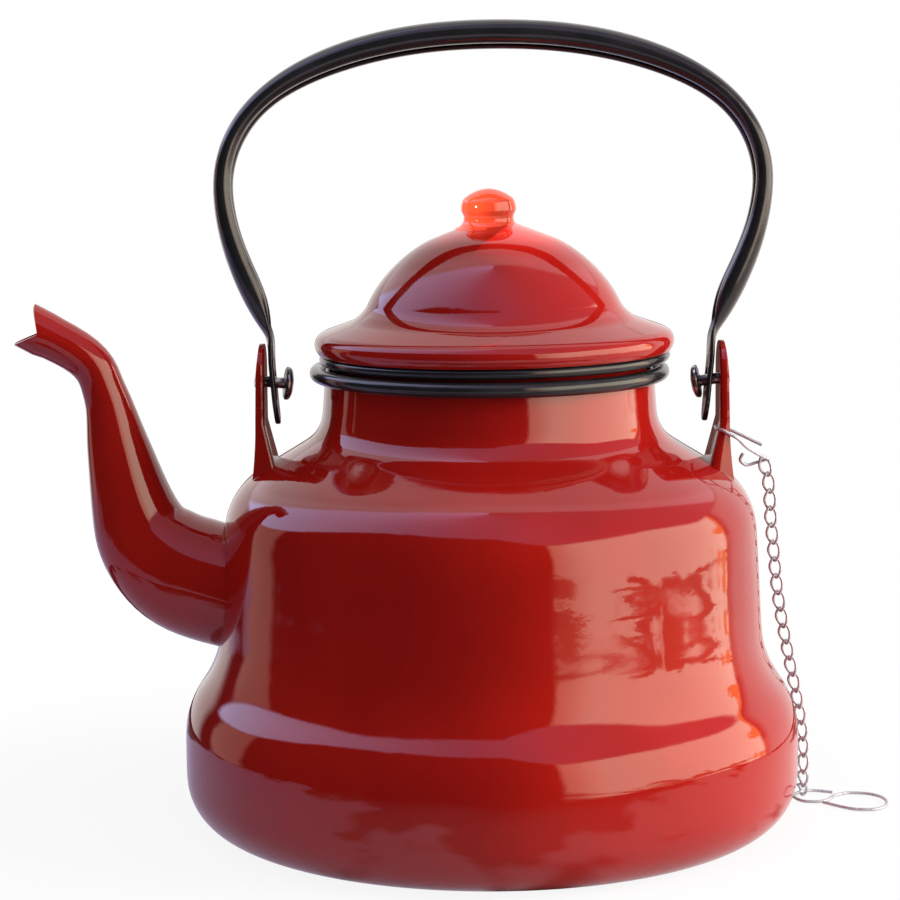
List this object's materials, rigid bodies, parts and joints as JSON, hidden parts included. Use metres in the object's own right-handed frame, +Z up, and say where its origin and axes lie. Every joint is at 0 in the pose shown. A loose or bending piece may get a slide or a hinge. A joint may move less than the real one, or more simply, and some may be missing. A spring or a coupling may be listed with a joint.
{
  "type": "enamel kettle",
  "caption": "Red enamelled steel kettle with a stepped body, curved spout, loose domed lid, black swinging bail handle and a wire clip on a chain hanging from one ear.",
  "frame": {"origin": "on the kettle's upright axis, in the plane of its flat base", "axes": "+Z up, the spout points along -X, the chain hangs on the +X side, +Y is the side away from the camera, towards which the bail leans"},
  "size_m": [0.2855, 0.2002, 0.2607],
  "materials": {
    "red enamel": "glossy fired enamel on sheet steel",
    "black enamel": "glossy fired enamel on sheet steel",
    "rivet steel": "worn bright steel",
    "wire steel": "plain drawn wire"
  },
  "bodies": {
    "kettle": {"body_shell": "red enamel", "bottom_pan": "red enamel", "mouth_rim": "black enamel", "spout": "red enamel", "ear_left": "red enamel", "ear_right": "red enamel", "rivet_left": "rivet steel", "rivet_right": "rivet steel"},
    "bail": {"bail": "black enamel"},
    "lid": {"lid_shell": "red enamel", "lid_hem": "black enamel", "lid_collar": "red enamel", "lid_knob": "red enamel"},
    "clip_upper": {"chain_clip_upper": "wire steel"},
    "link_01": {"chain_link_01": "wire steel"},
    "link_02": {"chain_link_02": "wire steel"},
    "link_03": {"chain_link_03": "wire steel"},
    "link_04": {"chain_link_04": "wire steel"},
    "link_05": {"chain_link_05": "wire steel"},
    "link_06": {"chain_link_06": "wire steel"},
    "link_07": {"chain_link_07": "wire steel"},
    "link_08": {"chain_link_08": "wire steel"},
    "link_09": {"chain_link_09": "wire steel"},
    "link_10": {"chain_link_10": "wire steel"},
    "link_11": {"chain_link_11": "wire steel"},
    "link_12": {"chain_link_12": "wire steel"},
    "link_13": {"chain_link_13": "wire steel"},
    "link_14": {"chain_link_14": "wire steel"},
    "link_15": {"chain_link_15": "wire steel"},
    "link_16": {"chain_link_16": "wire steel"},
    "link_17": {"chain_link_17": "wire steel"},
    "link_18": {"chain_link_18": "wire steel"},
    "link_19": {"chain_link_19": "wire steel"},
    "link_20": {"chain_link_20": "wire steel"},
    "link_21": {"chain_link_21": "wire steel"},
    "clip_lower": {"chain_clip_lower": "wire steel"}
  },
  "joints": [
    {"name": "bail_swing", "type": "hinge", "parent": "kettle", "child": "bail", "pos_m": [0, 0, 0.1451], "axis": [1, 0, 0], "range_deg": [-108, 124]},
    {"name": "lid_lift", "type": "slide", "parent": "kettle", "child": "lid", "axis": [0, 0, 1], "range_m": [0, 0.04]},
    {"name": "clip_upper_turn", "type": "hinge", "parent": "kettle", "child": "clip_upper", "pos_m": [0.0736, 0, 0.1293], "axis": [0, -1, 0], "range_deg": [0, 30]},
    {"name": "link_01_turn", "type": "hinge", "parent": "clip_upper", "child": "link_01", "pos_m": [0.0885, 0.00071, 0.11864], "axis": [0, -1, 0], "range_deg": [0, 8]},
    {"name": "link_02_turn", "type": "hinge", "parent": "link_01", "child": "link_02", "pos_m": [0.09044, 0.00146, 0.11319], "axis": [0, -1, 0], "range_deg": [0, 8]},
    {"name": "link_03_turn", "type": "hinge", "parent": "link_02", "child": "link_03", "pos_m": [0.09122, 0.00227, 0.10747], "axis": [0, -1, 0], "range_deg": [0, 8]},
    {"name": "link_04_turn", "type": "hinge", "parent": "link_03", "child": "link_04", "pos_m": [0.09151, 0.00309, 0.10169], "axis": [0, -1, 0], "range_deg": [0, 8]},
    {"name": "link_05_turn", "type": "hinge", "parent": "link_04", "child": "link_05", "pos_m": [0.09203, 0.00388, 0.09593], "axis": [0, -1, 0], "range_deg": [0, 8]},
    {"name": "link_06_turn", "type": "hinge", "parent": "link_05", "child": "link_06", "pos_m": [0.09271, 0.00464, 0.09018], "axis": [0, -1, 0], "range_deg": [0, 8]},
    {"name": "link_07_turn", "type": "hinge", "parent": "link_06", "child": "link_07", "pos_m": [0.09331, 0.00539, 0.08442], "axis": [0, -1, 0], "range_deg": [0, 8]},
    {"name": "link_08_turn", "type": "hinge", "parent": "link_07", "child": "link_08", "pos_m": [0.0939, 0.00614, 0.07866], "axis": [0, -1, 0], "range_deg": [0, 8]},
    {"name": "link_09_turn", "type": "hinge", "parent": "link_08", "child": "link_09", "pos_m": [0.09466, 0.00687, 0.07292], "axis": [0, -1, 0], "range_deg": [0, 8]},
    {"name": "link_10_turn", "type": "hinge", "parent": "link_09", "child": "link_10", "pos_m": [0.09559, 0.00761, 0.0672], "axis": [0, -1, 0], "range_deg": [0, 8]},
    {"name": "link_11_turn", "type": "hinge", "parent": "link_10", "child": "link_11", "pos_m": [0.09664, 0.0084, 0.06151], "axis": [0, -1, 0], "range_deg": [0, 8]},
    {"name": "link_12_turn", "type": "hinge", "parent": "link_11", "child": "link_12", "pos_m": [0.09778, 0.00925, 0.05585], "axis": [0, -1, 0], "range_deg": [0, 8]},
    {"name": "link_13_turn", "type": "hinge", "parent": "link_12", "child": "link_13", "pos_m": [0.09896, 0.01004, 0.05018], "axis": [0, -1, 0], "range_deg": [0, 8]},
    {"name": "link_14_turn", "type": "hinge", "parent": "link_13", "child": "link_14", "pos_m": [0.10016, 0.01079, 0.04452], "axis": [0, -1, 0], "range_deg": [0, 8]},
    {"name": "link_15_turn", "type": "hinge", "parent": "link_14", "child": "link_15", "pos_m": [0.10139, 0.01155, 0.03886], "axis": [0, -1, 0], "range_deg": [0, 8]},
    {"name": "link_16_turn", "type": "hinge", "parent": "link_15", "child": "link_16", "pos_m": [0.10261, 0.01233, 0.0332], "axis": [0, -1, 0], "range_deg": [0, 8]},
    {"name": "link_17_turn", "type": "hinge", "parent": "link_16", "child": "link_17", "pos_m": [0.10353, 0.01312, 0.02749], "axis": [0, -1, 0], "range_deg": [0, 8]},
    {"name": "link_18_turn", "type": "hinge", "parent": "link_17", "child": "link_18", "pos_m": [0.10419, 0.01391, 0.02174], "axis": [0, -1, 0], "range_deg": [0, 8]},
    {"name": "link_19_turn", "type": "hinge", "parent": "link_18", "child": "link_19", "pos_m": [0.10455, 0.01458, 0.01596], "axis": [0, -1, 0], "range_deg": [0, 8]},
    {"name": "link_20_turn", "type": "hinge", "parent": "link_19", "child": "link_20", "pos_m": [0.10458, 0.01512, 0.01014], "axis": [0, -1, 0], "range_deg": [0, 8]},
    {"name": "link_21_turn", "type": "hinge", "parent": "link_20", "child": "link_21", "pos_m": [0.1047, 0.01767, 0.00503], "axis": [0, -1, 0], "range_deg": [0, 8]},
    {"name": "clip_lower_turn", "type": "hinge", "parent": "link_21", "child": "clip_lower", "pos_m": [0.10491, 0.02213, 0.00127], "axis": [0, -1, 0], "range_deg": [0, 28]}
  ]
}
